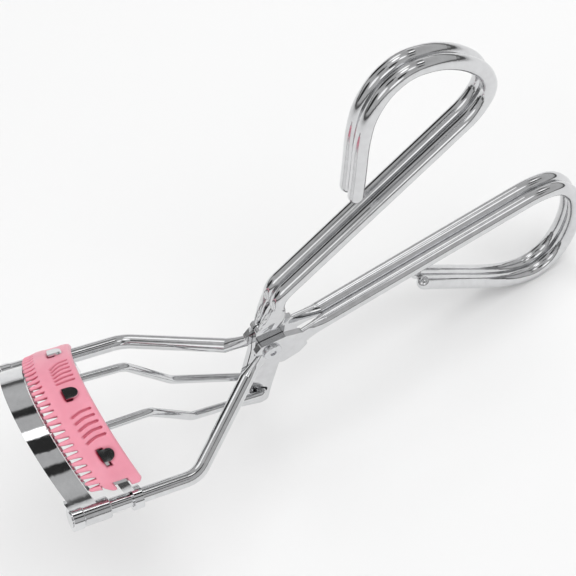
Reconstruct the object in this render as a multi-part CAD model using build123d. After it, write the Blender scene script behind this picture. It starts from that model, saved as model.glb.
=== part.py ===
from build123d import *
import os, math

os.makedirs("parts", exist_ok=True)

# ----------------------------------------------------------------- driving dimensions (mm)
u = 0.93                 # layout unit: the side-view layout below is drawn in these units
WIRE_R = 1.30            # handle and frame wire radius
LINK_R = 0.76            # link wire radius
SLOPE = 23.85            # slide rods rise towards the jaws by this angle
ROD_X = 16.63 * u        # slide rods, each side of the middle plane
ELBOW = (-23.19, -0.78)  # elbow of the frame wires (y, z), layout units from the pivot
ROD_END = 24.4           # rod length beyond the elbow, layout units
HANDLE_X = WIRE_R + 0.005  # centre of each handle wire from the middle plane
LEVER_IN, LEVER_OUT = 0.12, 1.20   # flattened lever plates, |x|
FRAME_IN, FRAME_OUT = 1.30, 2.42   # flattened frame plates, |x|
PIVOT_R = 1.00           # rivet shank radius
PIVOT_CLEAR = 0.05       # running clearance in the lever's holes
HEAD_R, HEAD_H = 1.72, 0.62
RING_R = 2.02            # moving jaw eyes, outer radius
SLIDE_CLEAR = 0.06       # running clearance of the eyes on the rods
FERRULE_R = 1.86
ARC_R = 19.72 * u        # comb's top surface, lash arc radius
ARC_C = -5.5             # arc centre above the rod axis, layout units
ARC_TILT = 4.61          # the arcs lean forward by this angle
COMB_T = 1.15            # comb thickness
FLANGE_T = 0.60          # moving jaw sheet
PITCH = 4.12             # comb tooth pitch, degrees
N_TOOTH = 27
COMB_BACK, COMB_ROOT, COMB_TIP = -30.54, -37.0, -39.11   # y of the comb's edges, at the arc's axis
COMB_HALF = 57.6         # comb half angle
FIX_BACK, FIX_FRONT = -39.6, -43.43                      # y of the fixed jaw's edges
JAW_FRONT = -35.4        # front of the moving jaw's flange
PAD_FACE = -40.0         # y of the lash pad's face
OY, OZ = 0.0, 0.0        # pivot position in the part's own frame (set below)

cs, sn = math.cos(math.radians(SLOPE)), math.sin(math.radians(SLOPE))
SDIR = (0, -cs, sn)      # slide direction, towards the fixed jaw
OY = -11.005 * u
OZ = 28.9 * u


def P(x, y, z):
    """x in mm, y and z in layout units from the pivot."""
    return Vector(x, OY + u * y, OZ + u * z)


def rod_z(y):
    return ELBOW[1] + (ELBOW[0] - y) * math.tan(math.radians(SLOPE))


def rod_pt(side, s, t=0.0):
    """point s along the slide rod from the elbow, t below it (layout units)."""
    return P(side * ROD_X, ELBOW[0] - s * cs - t * sn, ELBOW[1] + s * sn - t * cs)


def tangent_path(pts, radii=None):
    """straight runs joined by tangent arcs, as large as the runs allow."""
    rr = []
    for i in range(1, len(pts) - 1):
        a, b, c = pts[i - 1], pts[i], pts[i + 1]
        turn = math.radians((b - a).get_angle(c - b))
        rr.append(0.45 * min((b - a).length, (c - b).length) / math.tan(turn / 2))
    if radii:
        for i, r in radii.items():
            rr[i - 1] = r
    return FilletPolyline(*pts, radius=rr)


def tube(path, r):
    st = path @ 0
    d = path % 0
    return sweep(Plane(st, z_dir=d) * Circle(r), path=path)


def plate(poly, x0, x1, rad):
    """flat plate, outline in the side view, from x0 to x1."""
    pl = Plane(origin=(x0, OY, OZ), x_dir=(0, 1, 0), z_dir=(1, 0, 0))
    sk = make_face(Polyline(*[(u * a, u * b) for a, b in poly], close=True))
    if rad:
        sk = fillet(sk.vertices(), rad)
    return extrude(pl * sk, x1 - x0)


def section(cx, y, z, d, w, t):
    """rounded rectangle across direction d (y, z): w in the side plane, t along x."""
    pl = Plane(origin=P(cx, y, z), x_dir=(1, 0, 0), z_dir=(0, d[0], d[1]))
    return pl * RectangleRounded(t, w, min(t, w) * 0.42)


def xhole(y, z, r, x0, x1):
    pl = Plane(origin=P(x0, y, z), x_dir=(0, 1, 0), z_dir=(1, 0, 0))
    return extrude(pl * Circle(r), x1 - x0)


def sector(r0, r1, a0, a1, y):
    """annular sector about the lash arc's axis in the plane y (angles from the top, degrees)."""
    t = math.radians(ARC_TILT)
    pl = Plane(origin=P(0, y, rod_z(y) + ARC_C), x_dir=(1, 0, 0), z_dir=(0, -math.cos(t), -math.sin(t)))

    def q(r, a):
        return (r * math.sin(math.radians(a)), r * math.cos(math.radians(a)))
    am = (a0 + a1) / 2
    e = [ThreePointArc(q(r1, a0), q(r1, am), q(r1, a1)), Line(q(r1, a1), q(r0, a1)),
         ThreePointArc(q(r0, a1), q(r0, am), q(r0, a0)), Line(q(r0, a0), q(r1, a0))]
    return pl * make_face(Wire(e))


def bar(r0, r1, a0, a1, y0, y1):
    """sector carried along the slide direction from y0 to y1 (y1 < y0)."""
    return extrude(sector(r0, r1, a0, a1, y0), amount=u * (y0 - y1) / cs, dir=SDIR)


def radial(a, y, r):
    """cylinder whose axis is the arc's radius at angle a."""
    t, b = math.radians(ARC_TILT), math.radians(a)
    d = Vector(math.sin(b), -math.sin(t) * math.cos(b), math.cos(t) * math.cos(b))
    return extrude(Plane(P(0, y, rod_z(y) + ARC_C) + d * (ARC_R - 3), z_dir=d) * Circle(r), 6)


def along(side, s0, s1, r):
    """cylinder on the slide rod's axis."""
    return extrude(Plane(rod_pt(side, s0), z_dir=SDIR) * Circle(r), u * (s1 - s0))


def one(shape):
    s = shape.solids()
    return s[0] if len(s) == 1 else Compound(children=list(s))


# ----------------------------------------------------------------- frame wires
B_LOOP = [(32.4, -8.7), (38.6, -14.6), (45.2, -21.1), (50.6, -25.6), (56.0, -27.9), (60.9, -26.4),
          (64.6, -21.9), (66.8, -15.9), (66.9, -9.0), (63.9, -3.6), (58.6, -1.9)]
FRAME_PLATE = [(-3.1, 1.7), (-1.5, 2.8), (3.4, 1.9), (6.7, 0.2), (6.7, -4.2), (4.7, -5.35), (1.2, -5.5),
               (-0.8, -4.2), (-3.1, -1.2)]


def frame_wire(side):
    hx = side * HANDLE_X
    path = tangent_path([P(hx, *p) for p in B_LOOP] + [P(hx, 12.0, -1.9)])
    loop = tube(path, WIRE_R)
    tip = Pos(*P(hx, *B_LOOP[0])) * Sphere(WIRE_R)
    pc = side * (FRAME_IN + FRAME_OUT) / 2
    pt = FRAME_OUT - FRAME_IN
    l1 = loft([Plane(origin=P(hx, 12.0, -1.9), x_dir=(1, 0, 0), z_dir=(0, -1, 0)) * Circle(WIRE_R),
               section(pc, 5.2, -2.0, (-1, 0), 4.2 * u, pt - 0.08)])
    x0, x1 = sorted((side * FRAME_IN, side * FRAME_OUT))
    pl = plate(FRAME_PLATE, x0, x1, 0.6)
    a = P(side * 1.98 * u, -3.58, -1.38)
    b = P(side * ROD_X, *ELBOW)
    d = (b - a).normalized()
    c = a + d * 3.6
    end = rod_pt(side, ROD_END)
    rods = tube(FilletPolyline(c, b, end, radius=5.2), WIRE_R)
    l2 = loft([section(pc, -1.6, -0.7, (-1, 0), 3.0 * u, pt - 0.08),
               Plane(c, x_dir=Vector(0, 0, 1).cross(d), z_dir=d) * Circle(WIRE_R)])
    w = loop + tip + l1 + pl + l2 + rods
    return w - xhole(0, 0, PIVOT_R, min(x0, x1) - 1, max(x0, x1) + 1)


w = frame_wire(1)
print("frame_wire", w.is_valid, len(w.solids()), round(w.volume, 1))
export_step(one(w), "parts/frame_wire_right.step")
export_step(one(mirror(w, about=Plane.YZ)), "parts/frame_wire_left.step")

# ----------------------------------------------------------------- lever wires
A_LOOP = [(24.3, 28.6), (25.9, 33.9), (27.7, 40.5), (30.0, 46.0), (33.8, 49.9), (38.6, 51.4), (43.9, 49.6),
          (48.4, 45.9), (51.6, 41.2), (52.3, 36.2), (48.7, 32.1)]
KNEE = (5.4, 13.12)
LD = (-0.40, -0.9165)
LEVER_PLATE = [(-0.9, 6.5), (4.7, 4.5), (3.1, 0.0), (1.0, -6.2), (-2.7, -13.3), (-4.5, -17.2), (-6.0, -17.1),
               (-10.3, -14.2), (-7.4, -9.0), (-3.4, -0.9)]
SLOT_C, SLOT_DIR, SLOT_L, SLOT_W = (-5.4, -12.4), (0.655, -0.755), 4.3 * u, 2 * LINK_R + 0.34


def slot_cutter(x0, x1):
    pl = Plane(origin=P(x0, *SLOT_C), x_dir=(0, SLOT_DIR[0], SLOT_DIR[1]), z_dir=(1, 0, 0))
    return extrude(pl * SlotOverall(SLOT_L, SLOT_W), x1 - x0)


def lever_wire(side):
    hx = side * HANDLE_X
    top = (KNEE[0] + 2.5 * LD[0], KNEE[1] + 2.5 * LD[1])
    pts = [P(hx, *p) for p in A_LOOP] + [P(hx, *KNEE), P(hx, *top)]
    n = len(pts)
    path = tangent_path(pts, {n - 2: 4.2})
    loop = tube(path, WIRE_R)
    tip = Pos(*pts[0]) * Sphere(WIRE_R)
    pc = side * (LEVER_IN + LEVER_OUT) / 2
    pt = LEVER_OUT - LEVER_IN
    l1 = loft([Plane(origin=P(hx, *top), x_dir=(1, 0, 0), z_dir=(0, LD[0], LD[1])) * Circle(WIRE_R),
               section(side * 1.05, 3.2, 7.9, LD, 4.3 * u, 1.85), section(pc, 1.45, 4.1, LD, 5.3 * u, pt - 0.08)])
    x0, x1 = sorted((side * LEVER_IN, side * LEVER_OUT))
    pl = plate(LEVER_PLATE, x0, x1, 0.9)
    w = loop + tip + l1 + pl
    w = w - xhole(0, 0, PIVOT_R + PIVOT_CLEAR, x0 - 1, x1 + 1)
    return w - slot_cutter(x0 - 0.5, x1 + 0.5)


w = lever_wire(1)
print("lever_wire", w.is_valid, len(w.solids()), round(w.volume, 1))
export_step(one(w), "parts/lever_wire_right.step")
export_step(one(mirror(w, about=Plane.YZ)), "parts/lever_wire_left.step")

# ----------------------------------------------------------------- weld nuggets between paired wires
def welds(points, direction):
    """small fillets of weld metal in the groove between two touching wires, on the hidden underside."""
    d = Vector(0, *direction).normalized()
    down = Vector(1, 0, 0).cross(d)
    if down.Z > 0:
        down = -down
    out = []
    for p in points:
        c = P(0, *p)
        st = c - d * 1.6 + down * 0.98
        nug = extrude(Plane(st, x_dir=(1, 0, 0), z_dir=d) * Circle(0.52), 3.2)
        for sx in (1, -1):
            wire = extrude(Plane(c - d * 4 + Vector(sx * HANDLE_X, 0, 0), z_dir=d) * Circle(WIRE_R + 0.03), 8)
            nug = nug - wire
        out += [max(nug.solids(), key=lambda q: q.volume)]
    return Compound(children=out)


export_step(welds([(20.0, -1.9), (36.0, -1.9), (49.0, -1.9)], (1, 0)), "parts/frame_welds.step")
hd = (0.9158, 0.4016)
export_step(welds([(-3.956 + k * hd[0], 9.02 + k * hd[1]) for k in (18, 31, 43)], hd), "parts/lever_welds.step")

# ----------------------------------------------------------------- pivot rivet
pl = Plane(origin=P(-FRAME_OUT, 0, 0), x_dir=(0, 1, 0), z_dir=(1, 0, 0))
riv = extrude(pl * Circle(PIVOT_R), 2 * FRAME_OUT)
for sx in (1, -1):
    hp = Plane(origin=P(sx * FRAME_OUT, 0, 0), x_dir=(0, 1, 0), z_dir=(sx, 0, 0))
    head = extrude(hp * Circle(HEAD_R), HEAD_H)
    head = fillet(head.edges().filter_by(GeomType.CIRCLE).sort_by(Axis.X)[-1 if sx > 0 else 0], 0.4)
    dimple = extrude(hp.offset(HEAD_H - 0.25) * Circle(0.62), 1)
    riv = riv + (head - dimple)
print("rivet", riv.is_valid, len(riv.solids()))
export_step(one(riv), "parts/pivot_rivet.step")

# ----------------------------------------------------------------- ferrules on the slide rods
for name, side in (("ferrule_right", 1), ("ferrule_left", -1)):
    f = along(side, 17.2, 22.35, FERRULE_R) - along(side, 16, 24, WIRE_R)
    f = fillet(f.edges().filter_by(GeomType.CIRCLE).filter_by(lambda e: e.radius > FERRULE_R - 0.1), 0.22)
    export_step(one(f), f"parts/{name}.step")

# ----------------------------------------------------------------- fixed jaw and its lash pad
R_TOP = 18.1 * u
R_BOT = 14.7 * u
SHEET = 0.62
HALF = 60.0
jaw = bar(R_TOP - SHEET, R_TOP, -66.5, 66.5, FIX_BACK, FIX_FRONT)
jaw = jaw + bar(R_BOT, R_TOP, -HALF, HALF, FIX_FRONT + 0.75, FIX_FRONT)
jaw = jaw + bar(R_BOT, R_BOT + SHEET, -HALF, HALF, FIX_BACK + 0.1, FIX_FRONT)
for side in (1, -1):
    jaw = jaw + along(side, 22.4, 24.25, RING_R)
    a0, a1 = sorted((side * 58.0, side * 68.5))
    jaw = jaw + bar(R_TOP - SHEET - 0.5, R_TOP - 0.02, a0, a1, FIX_FRONT + 1.2, FIX_FRONT - 0.6)
for side in (1, -1):
    jaw = jaw - along(side, 10, ROD_END, WIRE_R)
    jaw = jaw - along(side, 10, 22.38, FERRULE_R + 0.01)
print("fixed_jaw", jaw.is_valid, len(jaw.solids()), round(jaw.volume, 1))
export_step(one(jaw), "parts/fixed_jaw.step")

pad = bar(R_BOT + SHEET, R_TOP - SHEET, -HALF + 8, HALF - 8, PAD_FACE, FIX_FRONT + 0.75)
export_step(one(pad), "parts/lash_pad.step")

# ----------------------------------------------------------------- comb
RC0, RC1 = ARC_R - COMB_T, ARC_R
comb = bar(RC0, RC1, -COMB_HALF, COMB_HALF, COMB_BACK, COMB_ROOT)
for i in range(N_TOOTH):
    a = (i - (N_TOOTH - 1) / 2) * PITCH
    comb = comb + bar(RC0 + 0.12, RC1 - 0.12, a - 1.3, a + 1.3, COMB_ROOT + 0.3, COMB_TIP)
TABS = (-37.1, 0.0, 37.1)  # angles of the three tabs that hold the comb
TAB_W = 3.3                # tab half angle
TAB_Y = -34.3              # front of the tab slots
for a in TABS:
    comb = comb - bar(RC0 - 1, RC1 + 1, a - TAB_W - 0.4, a + TAB_W + 0.4, TAB_Y + 0.95, TAB_Y)
STRAP_Y = (-33.0, -34.75)  # straps at both ends, back and front edges
for sg in (1, -1):
    a0, a1 = sorted((sg * (COMB_HALF - 4.5), sg * (COMB_HALF + 5)))
    comb = comb - bar(RC0 - 1, RC1 + 1, a0, a1, STRAP_Y[0] + 0.35, STRAP_Y[1] - 0.35)
print("comb", comb.is_valid, len(comb.solids()), round(comb.volume, 1))
export_step(one(comb), "parts/comb.step")

# ----------------------------------------------------------------- moving jaw
RM1 = RC0 - 0.02
RM0 = RM1 - FLANGE_T
MH = COMB_HALF - 1.5
BLADE = 16.5 * u
mj = bar(RM0, RM1, -MH, MH, COMB_BACK - 0.9, JAW_FRONT)
mj = mj + bar(BLADE - FLANGE_T, RM1, -MH, MH, JAW_FRONT + 0.6, JAW_FRONT)
mj = mj + bar(BLADE - FLANGE_T, BLADE, -MH + 6, MH - 6, JAW_FRONT + 0.6, JAW_FRONT - 0.75)
mj = mj + bar(13.9 * u, RM1, -MH + 8, MH - 8, COMB_BACK - 0.9, COMB_BACK - 1.55)
for a in TABS:
    mj = mj + bar(RM0, RC1 + 0.10, a - TAB_W, a + TAB_W, TAB_Y + 0.8, TAB_Y + 0.15)
    mj = mj + bar(RC1 + 0.04, RC1 + 0.5, a - TAB_W, a + TAB_W, TAB_Y + 1.4, TAB_Y + 0.15)
    disc = bar(RC1 + 0.04, RC1 + 0.5, a - TAB_W - 1, a + TAB_W + 1, TAB_Y + 2.9, TAB_Y + 0.6)
    mj = mj + (disc & radial(a, TAB_Y + 1.35, ARC_R * math.radians(TAB_W)))   # D-shaped end, folded back over the comb
RING_S = (11.25, 12.95)    # eyes, along the rod from the elbow
for sg in (1, -1):
    a0, a1 = sorted((sg * (MH - 7), sg * 68.2))
    mj = mj + bar(RM0 - 0.05, RM1 - 0.05, a0, a1, STRAP_Y[0], STRAP_Y[1])
    mj = mj + along(sg, RING_S[0], RING_S[1], RING_R)
for sg in (1, -1):
    mj = mj - along(sg, RING_S[1], 17.6, FERRULE_R + 0.2)
    mj = mj - along(sg, 8, 17.1, WIRE_R + SLIDE_CLEAR)
LINK_T = -7.7              # link wire's ends above the rod axes, held in the jaw's web, layout units
LINK_N = 5.75 * u
LINK_S = 15.0
for sg in (1, -1):
    p = rod_pt(0, 8.0, LINK_T) + Vector(sg * LINK_N, 0, 0)
    mj = mj - extrude(Plane(p, z_dir=SDIR) * Circle(LINK_R + 0.01), u * 8.5)
print("moving_jaw", mj.is_valid, len(mj.solids()), round(mj.volume, 1))
export_step(one(mj), "parts/moving_jaw.step")

# ----------------------------------------------------------------- link wire
CROSS = (-4.9, -13.0)      # cross-bar of the link, in the lever's slots


def leg(sg):
    return [P(sg * 2.15, *CROSS), P(sg * 4.55 * u, -18.8, -2.3), P(sg * 5.5 * u, -24.8, 8.28),
            rod_pt(0, LINK_S, LINK_T) + Vector(sg * LINK_N, 0, 0)]


r_, l_ = leg(1), leg(-1)
pts = [r_[3], r_[2], r_[1], r_[0], l_[0], l_[1], l_[2], l_[3]]
path = FilletPolyline(*pts, radius=[3.4, 3.4, 0.95, 0.95, 3.4, 3.4])
link = tube(path, LINK_R)
print("link", link.is_valid, len(link.solids()), round(link.volume, 1), "section x length", round(math.pi * LINK_R**2 * path.length, 1))
export_step(one(link), "parts/link_wire.step")
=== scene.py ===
import math

import bmesh
import bpy
import numpy as np
from mathutils import Matrix, Vector


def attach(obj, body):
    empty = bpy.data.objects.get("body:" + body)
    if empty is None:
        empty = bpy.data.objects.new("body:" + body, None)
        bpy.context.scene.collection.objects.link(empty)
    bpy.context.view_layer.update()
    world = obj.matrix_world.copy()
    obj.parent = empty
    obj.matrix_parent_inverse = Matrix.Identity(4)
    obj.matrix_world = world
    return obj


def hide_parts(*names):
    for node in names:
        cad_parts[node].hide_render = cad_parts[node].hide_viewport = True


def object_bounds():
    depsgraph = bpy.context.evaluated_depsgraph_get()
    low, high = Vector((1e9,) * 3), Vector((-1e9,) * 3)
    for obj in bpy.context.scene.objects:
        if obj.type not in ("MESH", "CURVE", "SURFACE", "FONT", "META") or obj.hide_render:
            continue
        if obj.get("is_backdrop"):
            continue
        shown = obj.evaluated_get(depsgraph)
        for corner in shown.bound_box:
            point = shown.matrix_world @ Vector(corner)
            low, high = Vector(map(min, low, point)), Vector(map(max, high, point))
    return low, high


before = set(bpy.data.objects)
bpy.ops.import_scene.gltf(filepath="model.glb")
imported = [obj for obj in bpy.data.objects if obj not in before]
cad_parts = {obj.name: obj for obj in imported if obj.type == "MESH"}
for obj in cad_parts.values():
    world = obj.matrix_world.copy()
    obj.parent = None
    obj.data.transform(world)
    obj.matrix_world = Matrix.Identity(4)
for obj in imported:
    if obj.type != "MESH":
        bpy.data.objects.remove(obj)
CAD_LO, CAD_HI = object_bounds()

# ------------------------------------------------------------------ shared layout (as in part.py), metres
u = 0.93e-3
OY, OZ = -11.005 * u, 28.9 * u
SLOPE = math.radians(23.85)
TILT = math.radians(4.61)
ELBOW = (-23.19, -0.78)
ARC_R = 19.72 * u
ARC_C = -5.5
COMB_T = 1.15e-3
PITCH = 4.12
N_TOOTH = 27
COMB_BACK, COMB_ROOT, COMB_TIP = -30.54, -37.0, -39.11
COMB_HALF = 57.6
TABS = (-37.1, 0.0, 37.1)
TAB_Y = -34.3
R_TOP, R_BOT, SHEET = 18.1 * u, 14.7 * u, 0.62e-3
PAD_FACE, FIX_FRONT = -40.0, -43.43


def arch(a, y, r):
    """points on the lash arc: angle from the top in degrees, y of the arc's plane, radius."""
    a = np.radians(np.asarray(a, float))
    y = np.asarray(y, float)
    r = np.asarray(r, float)
    zc = ELBOW[1] + (ELBOW[0] - y) * math.tan(SLOPE) + ARC_C
    h = r * np.cos(a)
    return np.stack([r * np.sin(a), OY + u * y - math.sin(TILT) * h, OZ + u * zc + math.cos(TILT) * h], -1)


# ------------------------------------------------------------------ materials
class Nodes:
    """small helper round a node tree."""

    def __init__(self, name):
        self.mat = bpy.data.materials.new(name)
        self.mat.use_nodes = True
        self.t = self.mat.node_tree
        self.t.nodes.clear()
        self.out = self.t.nodes.new("ShaderNodeOutputMaterial")
        self.p = self.t.nodes.new("ShaderNodeBsdfPrincipled")
        self.t.links.new(self.p.outputs[0], self.out.inputs[0])
        self.tc = self.t.nodes.new("ShaderNodeTexCoord")

    def link(self, a, b):
        self.t.links.new(a, b)

    def noise(self, scale, detail=4.0, rough=0.55, stretch=None):
        n = self.t.nodes.new("ShaderNodeTexNoise")
        n.inputs["Scale"].default_value = scale
        n.inputs["Detail"].default_value = detail
        n.inputs["Roughness"].default_value = rough
        if stretch:
            m = self.t.nodes.new("ShaderNodeMapping")
            m.inputs["Rotation"].default_value = stretch[0]
            m.inputs["Scale"].default_value = stretch[1]
            self.link(self.tc.outputs["Object"], m.inputs["Vector"])
            self.link(m.outputs[0], n.inputs["Vector"])
        else:
            self.link(self.tc.outputs["Object"], n.inputs["Vector"])
        return n.outputs["Fac"]

    def ramp(self, fac, stops):
        r = self.t.nodes.new("ShaderNodeValToRGB")
        e = r.color_ramp.elements
        while len(e) < len(stops):
            e.new(0.5)
        for k, (pos, col) in enumerate(stops):
            e[k].position = pos
            e[k].color = (*col, 1) if len(col) == 3 else col
        self.link(fac, r.inputs[0])
        return r.outputs[0]

    def remap(self, fac, a, b, lo=0.3, hi=0.7):
        m = self.t.nodes.new("ShaderNodeMapRange")
        m.inputs["From Min"].default_value = lo
        m.inputs["From Max"].default_value = hi
        m.inputs["To Min"].default_value = a
        m.inputs["To Max"].default_value = b
        self.link(fac, m.inputs["Value"])
        return m.outputs[0]

    def bump(self, height, strength, distance, normal=None):
        b = self.t.nodes.new("ShaderNodeBump")
        b.inputs["Strength"].default_value = strength
        b.inputs["Distance"].default_value = distance
        self.link(height, b.inputs["Height"])
        if normal is not None:
            self.link(normal, b.inputs["Normal"])
        return b.outputs[0]


def chrome(name, light, dark, r0, r1, orange_peel=0.10, scuff=0.0):
    m = Nodes(name)
    p = m.p
    p.inputs["Metallic"].default_value = 1.0
    tone = m.noise(700, 3)
    m.link(m.ramp(tone, [(0.25, dark), (0.75, light)]), p.inputs["Base Color"])
    hair = m.noise(2600, 5, 0.6, ((0.4, 0.2, 0.0), (1.0, 0.12, 1.0)))
    m.link(m.remap(hair, r0, r1), p.inputs["Roughness"])
    wave = m.noise(420, 2)
    n = m.bump(wave, orange_peel, 0.00006)
    if scuff:
        n = m.bump(m.noise(5200, 4, 0.7), scuff, 0.00004, n)
    m.link(n, p.inputs["Normal"])
    return m.mat


M_WIRE = chrome("chromed_wire_look", (0.71, 0.715, 0.725), (0.63, 0.633, 0.642), 0.045, 0.12)
M_LINK = chrome("chromed_link_look", (0.70, 0.705, 0.715), (0.61, 0.615, 0.625), 0.06, 0.15)
M_SHEET = chrome("chromed_sheet_look", (0.76, 0.765, 0.775), (0.68, 0.685, 0.695), 0.03, 0.09, 0.16)
M_FERRULE = chrome("chromed_ferrule_look", (0.71, 0.71, 0.72), (0.62, 0.625, 0.635), 0.08, 0.17)
M_RIVET = chrome("chromed_rivet_look", (0.74, 0.745, 0.76), (0.58, 0.585, 0.60), 0.10, 0.28, 0.2, 0.5)
M_WELD = chrome("weld_metal_look", (0.60, 0.59, 0.58), (0.40, 0.40, 0.41), 0.25, 0.5, 0.3, 0.8)


def pink():
    m = Nodes("comb_plastic_look")
    p = m.p
    tone = m.noise(260, 3, 0.5)
    col = m.ramp(tone, [(0.3, (0.770, 0.292, 0.372)), (0.7, (0.830, 0.340, 0.425))])
    fine = m.noise(2400, 5, 0.6)
    # painted shade: ambient occlusion multiplies a dark pink into the base colour in the rib grooves, tab
    # slots, notches and between the teeth
    ao = m.t.nodes.new("ShaderNodeAmbientOcclusion")
    ao.samples = 8
    ao.inputs["Distance"].default_value = 0.0007
    painted_crevice_shade = m.ramp(ao.outputs["AO"], [(0.35, (0.56, 0.11, 0.20)), (0.92, (1.0, 1.0, 1.0))])
    mix = m.t.nodes.new("ShaderNodeMix")
    mix.data_type = "RGBA"
    mix.blend_type = "MULTIPLY"
    mix.inputs[0].default_value = 1.0
    m.link(col, mix.inputs[6])
    m.link(painted_crevice_shade, mix.inputs[7])
    m.link(mix.outputs[2], p.inputs["Base Color"])
    m.link(m.remap(fine, 0.30, 0.46), p.inputs["Roughness"])
    p.inputs["Subsurface Weight"].default_value = 0.2
    p.inputs["Subsurface Radius"].default_value = (1.0, 0.45, 0.5)
    p.inputs["Subsurface Scale"].default_value = 0.0009
    p.inputs["IOR"].default_value = 1.49
    p.inputs["Specular IOR Level"].default_value = 0.45
    p.inputs["Coat Weight"].default_value = 0.08
    p.inputs["Coat Roughness"].default_value = 0.25
    m.link(m.bump(fine, 0.12, 0.00003, m.bump(tone, 0.2, 0.00004)), p.inputs["Normal"])
    return m.mat


def rubber():
    m = Nodes("pad_silicone_look")
    p = m.p
    tone = m.noise(500, 3, 0.5)
    m.link(m.ramp(tone, [(0.3, (0.78, 0.60, 0.62)), (0.7, (0.84, 0.68, 0.69))]), p.inputs["Base Color"])
    fine = m.noise(5200, 4, 0.6)
    m.link(m.remap(fine, 0.42, 0.6), p.inputs["Roughness"])
    p.inputs["Subsurface Weight"].default_value = 0.25
    p.inputs["Subsurface Radius"].default_value = (1.0, 0.7, 0.7)
    p.inputs["Subsurface Scale"].default_value = 0.0008
    m.link(m.bump(fine, 0.25, 0.00003), p.inputs["Normal"])
    return m.mat


M_PINK, M_PAD = pink(), rubber()


def put(node, mat):
    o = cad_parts[node]
    if not o.material_slots:
        o.data.materials.append(mat)
    for s in o.material_slots:
        s.material = mat


for node in ("frame_wire_left", "frame_wire_right", "lever_wire_left", "lever_wire_right"):
    put(node, M_WIRE)
put("link_wire", M_LINK)
put("fixed_jaw", M_SHEET)
put("moving_jaw", M_SHEET)
put("ferrule_left", M_FERRULE)
put("ferrule_right", M_FERRULE)
put("pivot_rivet", M_RIVET)
put("frame_welds", M_WELD)
put("lever_welds", M_WELD)


def new_object(name, verts, faces, mat, smooth=True):
    me = bpy.data.meshes.new(name)
    me.from_pydata([tuple(v) for v in verts], [], [tuple(f) for f in faces])
    me.validate()
    me.update()
    if smooth:
        me.polygons.foreach_set("use_smooth", [True] * len(me.polygons))
    o = bpy.data.objects.new(name, me)
    bpy.context.scene.collection.objects.link(o)
    o.data.materials.append(mat)
    return o


# ------------------------------------------------------------------ the moulded comb
SUB = 16                               # columns in one tooth pitch
TOOTH_COLS = 13                        # of them, across the tooth
R0, R1 = ARC_R - COMB_T, ARC_R
step = PITCH / SUB
first = -(N_TOOTH - 1) / 2 * PITCH - TOOTH_COLS / 2 * step
cols, tooth_of = [], []
n_before = int(math.floor((first + COMB_HALF) / step))
for k in range(n_before + 1):
    cols.append(-COMB_HALF + (first + COMB_HALF) * k / n_before)
total = (N_TOOTH - 1) * SUB + TOOTH_COLS
for k in range(1, total + 1):
    cols.append(first + k * step)
last = cols[-1]
n_after = n_before
for k in range(1, n_after + 1):
    cols.append(last + (COMB_HALF - last) * k / n_after)
cols = np.array(cols)
NC = len(cols)
c0 = n_before                          # column index where the first tooth starts


def rows_between(a, b, n):
    return list(np.linspace(a, b, n + 1))


SLOT_B, SLOT_F = TAB_Y + 0.95, TAB_Y   # back and front edges of the tab slots
body_rows = rows_between(COMB_BACK, SLOT_B, 15)[:-1] + rows_between(SLOT_B, SLOT_F, 6)[:-1] + rows_between(SLOT_F, COMB_ROOT, 14)
NB = len(body_rows) - 1                # body rows
tooth_rows = rows_between(COMB_ROOT, COMB_TIP, 14)[1:]
rows = np.array(body_rows + tooth_rows)
NR = len(rows)

cell = np.zeros((NR - 1, NC - 1), bool)
cell[:NB, :] = True
tooth_index = -np.ones(NC - 1, int)
for i in range(N_TOOTH):
    a = c0 + i * SUB
    cell[NB:, a:a + TOOTH_COLS] = True
    tooth_index[a:a + TOOTH_COLS] = i
mid = (cols[:-1] + cols[1:]) / 2
rmid = (rows[:-1] + rows[1:]) / 2
for a in TABS:
    lo, hi = a - 3.75, a + 3.75
    if a > 30:
        hi = a + 6.6                   # the near slot is longer than its tab
    inside = (mid > lo) & (mid < hi)
    band = (rmid < SLOT_B) & (rmid > SLOT_F)
    cell[np.ix_(band, inside)] = False
# notches in both ends, where the jaw's straps come through
S_B, S_F = -32.65, -35.1
band = (rmid < S_B) & (rmid > S_F)
for sg in (1, -1):
    inside = sg * mid > COMB_HALF - 4.6
    cell[np.ix_(band, inside)] = False

# shaping of the plan: rounded tooth tips that taper, rounded comb corners
A, Y = np.meshgrid(cols, rows)
A, Y = A.copy(), Y.copy()
for i in range(N_TOOTH):
    a = c0 + i * SUB
    ac = (i - (N_TOOTH - 1) / 2) * PITCH
    j = np.arange(a, a + TOOTH_COLS + 1)
    t = (cols[j] - ac) / (TOOTH_COLS / 2 * step)
    for r in range(NB, NR):
        p = (rows[r] - COMB_ROOT) / (COMB_TIP - COMB_ROOT)
        width = 1.0 - 0.32 * p ** 1.1
        A[r, j] = ac + (cols[j] - ac) * width
        round_tip = 0.52 * (1 - np.sqrt(1 - 0.96 * t ** 2))
        Y[r, j] = COMB_ROOT + (rows[r] - COMB_ROOT) * (1 - round_tip / (COMB_ROOT - COMB_TIP))
        if p < 0.12 and p > 0:
            A[r, j] = ac + (cols[j] - ac) * (1.0 + 0.10 * (1 - p / 0.12))
for r in range(NB + 1):
    back = max(0.0, (rows[r] - (COMB_BACK - 0.9)) / 0.9)       # corners at the back edge
    front = max(0.0, ((COMB_ROOT + 1.5) - rows[r]) / 1.5)     # longer slope at the front corners
    pull = 2.2 * back ** 2 + 4.2 * front ** 1.6
    far = 7.0 * max(0.0, (rows[r] - (COMB_BACK - 2.2)) / 2.2) ** 1.3   # the left back corner is cut away
    pull = np.where(A[r, :] < 0, np.maximum(pull, far), pull)
    A[r, :] = np.where(np.abs(A[r, :]) > 50, np.sign(A[r, :]) * (np.abs(A[r, :]) - pull * ((np.abs(A[r, :]) - 50) / (COMB_HALF - 50))), A[r, :])

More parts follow.
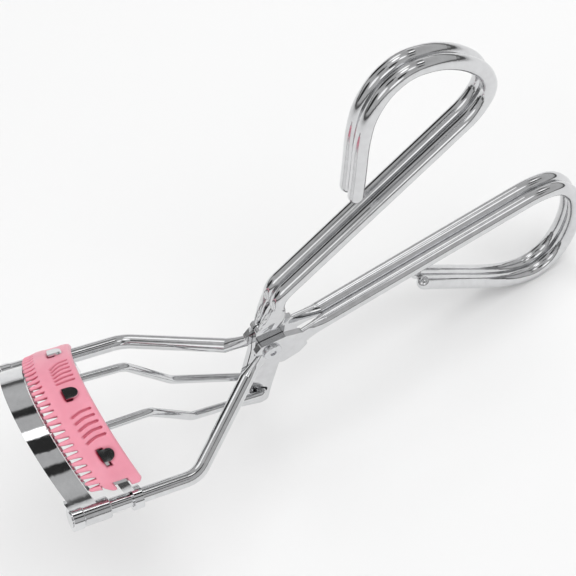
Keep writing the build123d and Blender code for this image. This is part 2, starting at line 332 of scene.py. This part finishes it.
# distance of each vertex from the outline, in metres, in the plan unrolled at the mean radius
PX = np.radians(A) * (R0 + R1) / 2
PY = u * Y / math.cos(SLOPE)
used = np.zeros((NR, NC), bool)
for dr in (0, 1):
    for dc in (0, 1):
        used[dr:NR - 1 + dr, dc:NC - 1 + dc] |= cell
edges = []
for r in range(NR - 1):
    for c in range(NC - 1):
        if not cell[r, c]:
            continue
        if r == 0 or not cell[r - 1, c]:
            edges.append(((r, c), (r, c + 1)))
        if r == NR - 2 or not cell[r + 1, c]:
            edges.append(((r + 1, c + 1), (r + 1, c)))
        if c == 0 or not cell[r, c - 1]:
            edges.append(((r + 1, c), (r, c)))
        if c == NC - 2 or not cell[r, c + 1]:
            edges.append(((r, c + 1), (r + 1, c + 1)))
e0 = np.array([[PX[a], PY[a]] for a, b in edges])
e1 = np.array([[PX[b], PY[b]] for a, b in edges])
D = np.zeros((NR, NC))
ab = e1 - e0
L2 = np.maximum((ab ** 2).sum(1), 1e-20)
for r in range(NR):
    near = (np.minimum(e0[:, 1], e1[:, 1]) < PY[r].max() + 1.2e-3) & (np.maximum(e0[:, 1], e1[:, 1]) > PY[r].min() - 1.2e-3)
    q0, qa, ql = e0[near], ab[near], L2[near]
    for k in range(0, NC, 64):
        pt = np.stack([PX[r, k:k + 64], PY[r, k:k + 64]], -1)
        t = np.clip(((pt[:, None] - q0[None]) * qa[None]).sum(-1) / ql[None], 0, 1)
        w = pt[:, None] - (q0[None] + qa[None] * t[..., None])
        D[r, k:k + 64] = np.sqrt((w ** 2).sum(-1)).min(1)

# ribs: two groups of curved grooves cut into the top, with ridges left between them
RIB_H, RIB_W = 0.42e-3, 0.25e-3
rib = np.zeros((NR, NC))
groups = []
for k in range(6):
    groups.append((-20.6 + k * 2.5, -25.3 + k * 3.3, -34.6, -31.6))
for k in range(5):
    groups.append((13.5 + k * 3.83, 11.1 + k * 3.83, -34.9, -31.5))
for af, abk, yf, yb in groups:
    ys = np.linspace(yb, yf, 41)
    s = (yb - ys) / (yb - yf)
    # nearly straight along the slide direction at the back, bending away at the front
    bend = np.where(s > 0.42, (s - 0.42) / 0.58, 0.0)
    aa = abk + (af - abk) * (0.25 * s + 0.75 * bend ** 1.35)
    lx, ly = np.radians(aa) * (R0 + R1) / 2, u * ys / math.cos(SLOPE)
    for r in range(NB + 1):
        d2 = (PX[r][:, None] - lx[None]) ** 2 + (PY[r][:, None] - ly[None]) ** 2
        d = np.sqrt(d2.min(1))
        rib[r] = np.maximum(rib[r], np.clip(1 - (d / RIB_W) ** 2, 0, 1) ** 0.8)

ROUND = 0.40e-3
half_t = COMB_T / 2
dd = np.clip(D, 0, ROUND)
drop = ROUND - np.sqrt(np.maximum(ROUND ** 2 - (ROUND - dd) ** 2, 0))
prog = np.clip((Y - COMB_ROOT) / (COMB_TIP - COMB_ROOT), 0, 1)
thin = 0.16e-3 * np.clip(prog * 4, 0, 1) + 0.22e-3 * prog
TOP = R1 - drop - thin - np.where(D > 0.25e-3, rib * RIB_H, 0.0)
BOT = R0 + drop * 0.8 + 0.12e-3 * np.clip(prog * 4, 0, 1)
gap = TOP - BOT
TOP = np.where(gap < 0.12e-3, (TOP + BOT) / 2 + 0.06e-3, TOP)
BOT = np.where(gap < 0.12e-3, TOP - 0.12e-3, BOT)

index = -np.ones((NR, NC), int)
index[used] = np.arange(used.sum())
n_used = int(used.sum())
top = arch(A[used], Y[used], TOP[used])
bot = arch(A[used], Y[used], BOT[used])
verts = np.concatenate([top, bot])
faces = []
for r in range(NR - 1):
    for c in range(NC - 1):
        if cell[r, c]:
            q = (index[r, c], index[r, c + 1], index[r + 1, c + 1], index[r + 1, c])
            faces.append(q)
            faces.append(tuple(n_used + v for v in reversed(q)))
for a, b in edges:
    ia, ib = index[a], index[b]
    faces.append((ib, ia, n_used + ia, n_used + ib))
comb = new_object("lash_comb", verts, faces, M_PINK)
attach(comb, "jaw")
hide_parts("comb")

# ------------------------------------------------------------------ the lash pad, a crowned silicone strip
PA = 52.0
pr0, pr1 = R_BOT + SHEET, R_TOP - SHEET
prof = []
rc = 0.35
yb, yf = PAD_FACE, FIX_FRONT + 0.75
rmid_, rh = (pr0 + pr1) / 2, (pr1 - pr0) / 2 - 0.00002
NP = 28
for k in range(NP):
    th = 2 * math.pi * k / NP
    ct, st_ = math.cos(th), math.sin(th)
    pw = 0.45
    px = (abs(ct) ** pw) * (1 if ct >= 0 else -1)
    py = (abs(st_) ** pw) * (1 if st_ >= 0 else -1)
    prof.append((px, py))
NA = 90
pv, pf = [], []
for i in range(NA + 1):
    a = -PA + 2 * PA * i / NA
    e = min(1.0, (PA - abs(a)) / 2.0)
    shrink = math.sqrt(max(0.0, 1 - (1 - e) ** 2)) * 0.35 + 0.65
    for px, py in prof:
        yy = (yb + yf) / 2 + (yb - yf) / 2 * 0.985 * px
        rr = rmid_ + rh * py * shrink
        # shallow groove along the face where the lashes bed
        if px > 0.8:
            yy -= 0.14 * max(0.0, 1 - abs(py) / 0.5)
        pv.append(arch(a, yy, rr))
for i in range(NA):
    for k in range(NP):
        k2 = (k + 1) % NP
        pf.append((i * NP + k, i * NP + k2, (i + 1) * NP + k2, (i + 1) * NP + k))
pf.append(tuple(range(NP - 1, -1, -1)))
pf.append(tuple(NA * NP + k for k in range(NP)))
pad = new_object("lash_pad_strip", pv, pf, M_PAD)
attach(pad, "frame")
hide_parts("lash_pad")

for o in (comb, pad):
    bm_me = o.data
    bm = bmesh.new()
    bm.from_mesh(bm_me)
    bmesh.ops.recalc_face_normals(bm, faces=bm.faces)
    bm.to_mesh(bm_me)
    bm.free()
    bm_me.polygons.foreach_set("use_smooth", [True] * len(bm_me.polygons))

# ------------------------------------------------------------------ floor, light, camera
floor_mat = Nodes("floor_look")
floor_mat.link(floor_mat.ramp(floor_mat.noise(3.0, 2), [(0.3, (0.86, 0.86, 0.86)), (0.7, (0.88, 0.88, 0.88))]), floor_mat.p.inputs["Base Color"])
floor_mat.p.inputs["Roughness"].default_value = 0.85
floor_mat.p.inputs["Specular IOR Level"].default_value = 0.1
S = 3.0
floor = new_object("floor", [(-S, -S, -0.0002), (S, -S, -0.0002), (S, S, -0.0002), (-S, S, -0.0002)], [(0, 1, 2, 3)], floor_mat.mat, False)
floor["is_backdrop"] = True

world = bpy.data.worlds.new("studio")
bpy.context.scene.world = world
world.use_nodes = True
wt = world.node_tree
wt.nodes.clear()
wo = wt.nodes.new("ShaderNodeOutputWorld")
wb = wt.nodes.new("ShaderNodeBackground")
wc = wt.nodes.new("ShaderNodeTexCoord")


def wmath(op, a, b=None):
    n = wt.nodes.new("ShaderNodeMath")
    n.operation = op
    for k, v in enumerate((a, b)):
        if v is None:
            continue
        if isinstance(v, (int, float)):
            n.inputs[k].default_value = v
        else:
            wt.links.new(v, n.inputs[k])
    return n.outputs[0]


def soft(value, lo, hi):
    n = wt.nodes.new("ShaderNodeMapRange")
    n.interpolation_type = "SMOOTHSTEP"
    n.inputs["From Min"].default_value = lo
    n.inputs["From Max"].default_value = hi
    wt.links.new(value, n.inputs["Value"])
    return n.outputs[0]


def toward(d):
    n = wt.nodes.new("ShaderNodeVectorMath")
    n.operation = "DOT_PRODUCT"
    wt.links.new(wc.outputs["Generated"], n.inputs[0])
    n.inputs[1].default_value = Vector(d).normalized()
    return n.outputs["Value"]


def spot(d, half, edge=2.0):
    """1 inside a round patch of the studio, half degrees from direction d to its rim."""
    return soft(toward(d), math.cos(math.radians(half + edge)), math.cos(math.radians(half)))


sep = wt.nodes.new("ShaderNodeSeparateXYZ")
wt.links.new(wc.outputs["Generated"], sep.inputs[0])
wr = wt.nodes.new("ShaderNodeValToRGB")
wm = wt.nodes.new("ShaderNodeMapRange")
wm.inputs["From Min"].default_value = -1.0
wt.links.new(sep.outputs["Z"], wm.inputs["Value"])
wt.links.new(wm.outputs[0], wr.inputs[0])
e = wr.color_ramp.elements
stops = [(0.0, 0.5), (0.49, 0.5), (0.508, 0.07), (0.54, 0.12), (0.575, 0.50), (0.66, 0.55), (0.80, 0.50), (0.94, 0.48), (1.0, 0.62)]
while len(e) < len(stops):
    e.new(0.5)
for k, (pos, v) in enumerate(stops):
    e[k].position = pos
    e[k].color = (v, v, v * 1.01, 1)
level = wr.outputs[0]
bw = wt.nodes.new("ShaderNodeRGBToBW")
wt.links.new(level, bw.inputs[0])
level = bw.outputs[0]
# dark openings and cards, and white lamps, as a small product studio has them
for d, half, edge in (((0.08, 0.61, 0.79), 7.5, 1.5), ((-0.55, 0.57, 0.61), 4.0, 2.5), ((0.56, 0.54, 0.63), 4.2, 3.0), ((0.53, -0.09, 0.84), 9.0, 3.0),
                      ((-0.10, -0.45, 0.89), 8.0, 3.0), ((-0.90, -0.25, 0.35), 12.0, 5.0), ((-0.30, -0.88, 0.36), 12.0, 5.0)):
    level = wmath("MULTIPLY", level, wmath("SUBTRACT", 1.0, wmath("MULTIPLY", spot(d, half, edge), 0.94)))
for d, half, gain in (((-0.14, 0.608, 0.78), 4.0, 1.5), ((-0.14, 0.05, 0.99), 9.0, 1.1), ((0.30, 0.30, 0.90), 8.0, 0.9), ((-0.62, 0.10, 0.78), 11.0, 0.9),
                      ((0.86, -0.20, 0.46), 10.0, 0.9), ((0.35, -0.70, 0.62), 12.0, 0.8), ((-0.80, 0.55, 0.22), 8.0, 0.35)):
    level = wmath("ADD", level, wmath("MULTIPLY", spot(d, half, 1.5), gain))
# straight behind the object the studio is a plain pale backdrop
path = wt.nodes.new("ShaderNodeLightPath").outputs["Is Camera Ray"]
level = wmath("ADD", wmath("MULTIPLY", level, wmath("SUBTRACT", 1.0, path)), wmath("MULTIPLY", path, 0.86))
wt.links.new(level, wb.inputs["Color"])
wb.inputs["Strength"].default_value = 1.0
wt.links.new(wb.outputs[0], wo.inputs[0])

centre = (CAD_LO + CAD_HI) / 2


def area(name, loc, size, energy, size_y=None):
    d = bpy.data.lights.new(name, "AREA")
    d.energy = energy
    d.size = size
    if size_y:
        d.shape = "RECTANGLE"
        d.size_y = size_y
    o = bpy.data.objects.new(name, d)
    o.location = centre + Vector(loc)
    o.rotation_mode = "QUATERNION"
    o.rotation_quaternion = (-Vector(loc)).to_track_quat("-Z", "Y")
    bpy.context.scene.collection.objects.link(o)
    o.visible_glossy = False
    return o


area("key_light", (0.10, 0.25, 0.75), 0.8, 4.2)
area("side_light", (-0.75, -0.15, 0.40), 0.5, 0.9)
area("front_light", (0.65, -0.45, 0.35), 0.4, 0.9)


cam_data = bpy.data.cameras.new("camera")
cam_data.sensor_width = 36.0
cam_data.lens = 89.70
cam_data.clip_start, cam_data.clip_end = 0.01, 10.0
cam = bpy.data.objects.new("camera", cam_data)
bpy.context.scene.collection.objects.link(cam)
right = Vector((0.46730, 0.86000, -0.20502))
down = Vector((0.70437, -0.50230, -0.50155))
ahead = Vector((-0.53431, 0.08996, -0.84049))
m = Matrix.Identity(4)
for k in range(3):
    m[k][0], m[k][1], m[k][2] = right[k], -down[k], -ahead[k]
m[0][3], m[1][3], m[2][3] = 137.637 * u, OY - 15.485 * u, OZ + 228.344 * u
cam.matrix_world = m
bpy.context.scene.camera = cam
bpy.context.scene.view_settings.view_transform = "Standard"

lo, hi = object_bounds()
